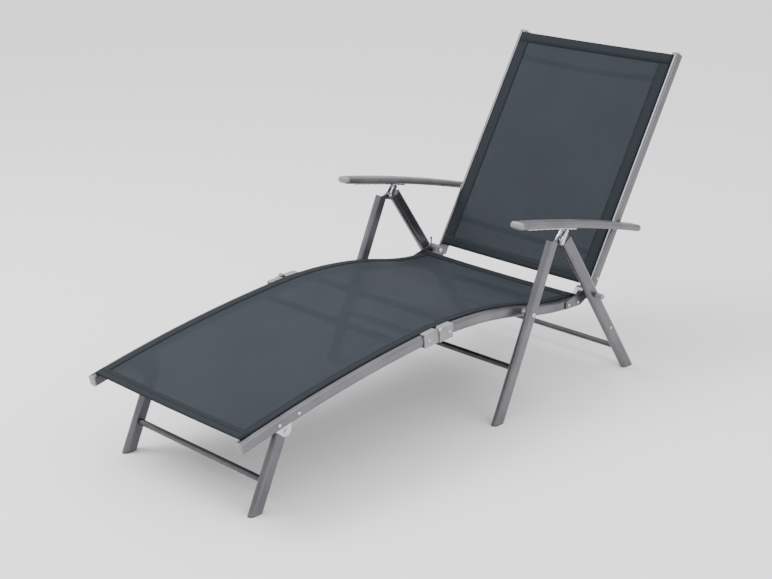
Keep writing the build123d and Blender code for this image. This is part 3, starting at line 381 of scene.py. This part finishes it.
def cloth_strip(name, rows, x_low, x_high, sag, raise_by=0.0, columns=40, pick=None):
    """A closed thin slab of cloth over some of the rows, with its own map in metres."""
    first, last = pick or (0, len(rows) - 1)
    points, maps = [], []
    length = 0.0
    for i in range(first, last + 1):
        if i > first:
            length += math.hypot(rows[i][0] - rows[i - 1][0], rows[i][1] - rows[i - 1][1])
        for j in range(columns + 1):
            x = x_low + (x_high - x_low) * j / columns
            points.append(point_over(rows, i, x, sag, raise_by))
            maps.append((x + HALF_WIDTH, length))
    faces = []
    wide = columns + 1
    for i in range(last - first):
        for j in range(columns):
            a = i * wide + j
            faces.append((a, a + 1, a + wide + 1, a + wide))
    mesh = bpy.data.meshes.new(name)
    mesh.from_pydata(points, [], faces)
    layer = mesh.uv_layers.new(name="cloth")
    for loop in mesh.loops:
        layer.data[loop.index].uv = maps[loop.vertex_index]
    for face in mesh.polygons:
        face.use_smooth = True
    piece = bpy.data.objects.new(name, mesh)
    bpy.context.scene.collection.objects.link(piece)
    slab = piece.modifiers.new("thickness", "SOLIDIFY")
    slab.thickness = CLOTH
    slab.offset = 0.0
    return piece


BED_SAG = 0.006
BACK_SAG = 0.006
bed = cloth_strip("bed_mesh", bed_rows, -HALF_WIDTH, HALF_WIDTH, BED_SAG)
back = cloth_strip("back_mesh", back_rows, -HALF_WIDTH, HALF_WIDTH, BACK_SAG)

# %% [markdown]
# ## Hems
#
# Each edge is folded over and sewn, so a hem is two more layers of the same cloth. Side hems
# are 36 mm wide on the back and 24 mm on the bed, and the free ends have one too. They are
# laid just above the main cloth. They keep the cloth's own dark colour, while the open mesh is painted
# lighter for the light showing through it. Where two hems cross at a corner, the end hem lies on the side
# hem, one layer higher.

# %% Lay the hems
HEM_RAISE = CLOTH + 0.0001
BED_HEM = 0.024
BACK_HEM = 0.036
HEM_ROWS = 3     # an end hem covers this many steps between rows


def side_hems(sheet, rows, width, sag, columns):
    """The hems along the left and the right rail."""
    return [
        cloth_strip(f"{sheet}_hem_left", rows, HALF_WIDTH - width, HALF_WIDTH, sag, HEM_RAISE, columns),
        cloth_strip(f"{sheet}_hem_right", rows, -HALF_WIDTH, -HALF_WIDTH + width, sag, HEM_RAISE, columns),
    ]


def end_hem(name, rows, sag, first):
    """A hem from side to side, starting at row first."""
    return cloth_strip(name, rows, -HALF_WIDTH, HALF_WIDTH, sag, HEM_RAISE * 2,
                       pick=(first, first + HEM_ROWS))


bed_hems = side_hems("bed", bed_rows, BED_HEM, BED_SAG, 3)
foot_hem = end_hem("bed_hem_foot", bed_rows, BED_SAG, 0)
tail_hem = end_hem("bed_hem_tail", bed_rows, BED_SAG, len(bed_rows) - 1 - HEM_ROWS)
back_hems = side_hems("back", back_rows, BACK_HEM, BACK_SAG, 4)
back_hems.append(end_hem("back_hem_top", back_rows, BACK_SAG, len(back_rows) - 1 - HEM_ROWS))
back_hems.append(end_hem("back_hem_bottom", back_rows, BACK_SAG, 0))
for piece in [bed, back]:
    piece.data.materials.append(mesh_cloth)
for piece in bed_hems + [foot_hem, tail_hem] + back_hems:
    piece.data.materials.append(hem_cloth)

# %% [markdown]
# ## Stitches
#
# A hem is held by rows of lock stitches, hundreds of short threads that all look alike. That
# is work for Geometry Nodes: one tree takes a line, spaces points along it, and sets a short
# thread on each. The tree's sizes are named inputs, so the same tree sews every seam.

# %% Build the stitching tree
SPACING = 0.006
THREAD_LENGTH = 0.0042
THREAD_RADIUS = 0.0006


def stitching_tree():
    """Geometry Nodes that turn a line into a row of short threads."""
    tree = bpy.data.node_groups.new("lock_stitches", "GeometryNodeTree")
    sockets = tree.interface
    sockets.new_socket("Geometry", in_out="INPUT", socket_type="NodeSocketGeometry")
    sizes = (("Spacing", SPACING), ("Thread length", THREAD_LENGTH), ("Thread radius", THREAD_RADIUS))
    for label, value in sizes:
        sockets.new_socket(label, in_out="INPUT", socket_type="NodeSocketFloat").default_value = value
    sockets.new_socket("Geometry", in_out="OUTPUT", socket_type="NodeSocketGeometry")
    given = add_node(tree, "NodeGroupInput")
    line = add_node(tree, "GeometryNodeMeshToCurve", Mesh=(given, "Geometry"))
    dots = add_node(tree, "GeometryNodeCurveToPoints", {"mode": "LENGTH"},
                    Curve=(line, "Curve"), Length=(given, "Spacing"))
    one = add_node(tree, "GeometryNodeMeshCylinder",
                   Vertices=6, Radius=(given, "Thread radius"), Depth=(given, "Thread length"))
    sewn = add_node(tree, "GeometryNodeInstanceOnPoints",
                    Points=(dots, "Points"), Instance=(one, "Mesh"), Rotation=(dots, "Rotation"))
    real = add_node(tree, "GeometryNodeRealizeInstances", Geometry=(sewn, "Instances"))
    dyed = add_node(tree, "GeometryNodeSetMaterial", Geometry=(real, "Geometry"), Material=thread)
    add_node(tree, "NodeGroupOutput", Geometry=(dyed, "Geometry"))
    return tree


sew = stitching_tree()


def seam(name, lines):
    """Sews one or more lines of points, and returns the stitches as a plain mesh."""
    points, edges = [], []
    for line in lines:
        start = len(points)
        points += line
        edges += [(start + i, start + i + 1) for i in range(len(line) - 1)]
    guide_mesh = bpy.data.meshes.new(name + "_guide")
    guide_mesh.from_pydata(points, edges, [])
    guide = bpy.data.objects.new(name + "_guide", guide_mesh)
    bpy.context.scene.collection.objects.link(guide)
    guide.modifiers.new("sew", "NODES").node_group = sew
    evaluated = guide.evaluated_get(bpy.context.evaluated_depsgraph_get())
    mesh = bpy.data.meshes.new_from_object(evaluated)
    bpy.data.objects.remove(guide)
    stitches = bpy.data.objects.new(name, mesh)
    bpy.context.scene.collection.objects.link(stitches)
    print(name, len(mesh.polygons), "faces")
    return stitches


ON_HEM = HEM_RAISE + THREAD_RADIUS
SEAM_INSET = 0.004   # from the hem's inner edge, or from the cloth's side, to the stitches
SEAM_STEPS = 60      # straight steps in a seam from side to side


def lines_along(rows, hem, sag):
    """The two seams along the side hems, each a list of points, left first."""
    return [[point_over(rows, i, side * (HALF_WIDTH - hem + SEAM_INSET), sag, ON_HEM)
             for i in range(len(rows))] for side in (1, -1)]


def line_across(rows, i, sag):
    """Points from side to side at row i, on top of an end hem."""
    return [point_over(rows, i, (-1 + 2 * j / SEAM_STEPS) * (HALF_WIDTH - SEAM_INSET), sag, ON_HEM * 2)
            for j in range(SEAM_STEPS + 1)]


bed_seams = seam("bed_stitches", lines_along(bed_rows, BED_HEM, BED_SAG))
foot_seam = seam("foot_stitches", [line_across(bed_rows, HEM_ROWS - 1, BED_SAG)])
tail_seam = seam("tail_stitches", [line_across(bed_rows, len(bed_rows) - HEM_ROWS, BED_SAG)])
back_seams = seam("back_stitches", lines_along(back_rows, BACK_HEM, BACK_SAG)
                  + [line_across(back_rows, i, BACK_SAG) for i in (len(back_rows) - HEM_ROWS, HEM_ROWS - 1)])

# %% [markdown]
# ## Attach the cloth to the frame's bodies
#
# The bed crosses the knee hinge, but its main cloth, side hems and their stitches are fixed in place as they
# lie. The foot hem and its stitches go with the legrest, and the tail hem and its stitches go with the seat.
# The back cloth belongs to the back alone.

# %% Fabric on its bodies
back_parts = back_hems + [back_seams]
for piece in [bed, bed_seams] + bed_hems:
    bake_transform(piece)
for piece in [foot_hem, foot_seam]:
    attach(piece, "legrest")
for piece in [tail_hem, tail_seam]:
    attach(piece, "seat")
for piece in [back] + back_parts:
    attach(piece, "back")
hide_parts("legrest_fabric", "seat_fabric")
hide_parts("back_fabric")

# %% [markdown]
# ## Floor and light
#
# A product picture is lit so that the shape reads and nothing distracts: a pale floor, a very
# bright soft room, one large soft lamp from the upper left for shape, and a weaker one from
# the right so that the near tubes do not go dark.

# %% Floor, lamps and world
FLOOR_SIZE = 60
FLOOR_DROP = 0.0005    # keeps the floor out of the shoes' soles
LOW_GLOW = 0.65        # strength of the room's light at the horizon, and overhead
HIGH_GLOW = 1.9
bpy.ops.mesh.primitive_plane_add(size=FLOOR_SIZE, location=(0, 0, -FLOOR_DROP))
floor = bpy.context.object
floor.name = "floor"
floor_finish, floor_shader = new_finish("studio_paper_white", "f4f4f4", 0.9)
floor.data.materials.append(floor_finish)

world = bpy.data.worlds.new("studio")
bpy.context.scene.world = world
world.use_nodes = True
sky = world.node_tree
direction = add_node(sky, "ShaderNodeTexCoord")
height = add_node(sky, "ShaderNodeSeparateXYZ", Vector=(direction, "Generated"))
glow = add_node(sky, "ShaderNodeMapRange", i0=(height, "Z"), i1=-0.1, i2=0.9, i3=LOW_GLOW, i4=HIGH_GLOW)
sky.nodes["Background"].inputs["Color"].default_value = linear("ffffff")
sky.links.new(glow.outputs[0], sky.nodes["Background"].inputs["Strength"])


def lamp(name, place, aim, size, power):
    """A square soft lamp at a place, turned towards aim."""
    data = bpy.data.lights.new(name, "AREA")
    data.size = size
    data.energy = power
    light = bpy.data.objects.new(name, data)
    bpy.context.scene.collection.objects.link(light)
    light.location = place
    light.rotation_euler = (Vector(aim) - Vector(place)).to_track_quat("-Z", "Y").to_euler()


lamp("key", (-1.8, -1.6, 3.4), (0, 0.1, 0.3), 2.2, 130)
lamp("fill", (3.2, 0.4, 2.2), (0, 0, 0.4), 2.5, 40)

# %% [markdown]
# ## Camera
#
# A long lens keeps the parallel rails nearly parallel. The camera's three directions are
# written out, because they were measured together and rounding one angle would tilt the rest.

# %% Camera
eye = Vector((2.53776, -2.72565, 1.60267))
right = Vector((0.72006909, 0.69385117, 0.00842956))
above = Vector((-0.23406969, 0.23144239, 0.94426998))
ahead = Vector((-0.65323188, 0.68191273, -0.32906404))
lens = bpy.data.cameras.new("camera")
lens.sensor_width = 36
lens.lens = 67.95914
lens.clip_end = 200
camera = bpy.data.objects.new("camera", lens)
bpy.context.scene.collection.objects.link(camera)
turned = Matrix((right, above, -ahead)).transposed().to_4x4()
turned.translation = eye
camera.matrix_world = turned
bpy.context.scene.camera = camera
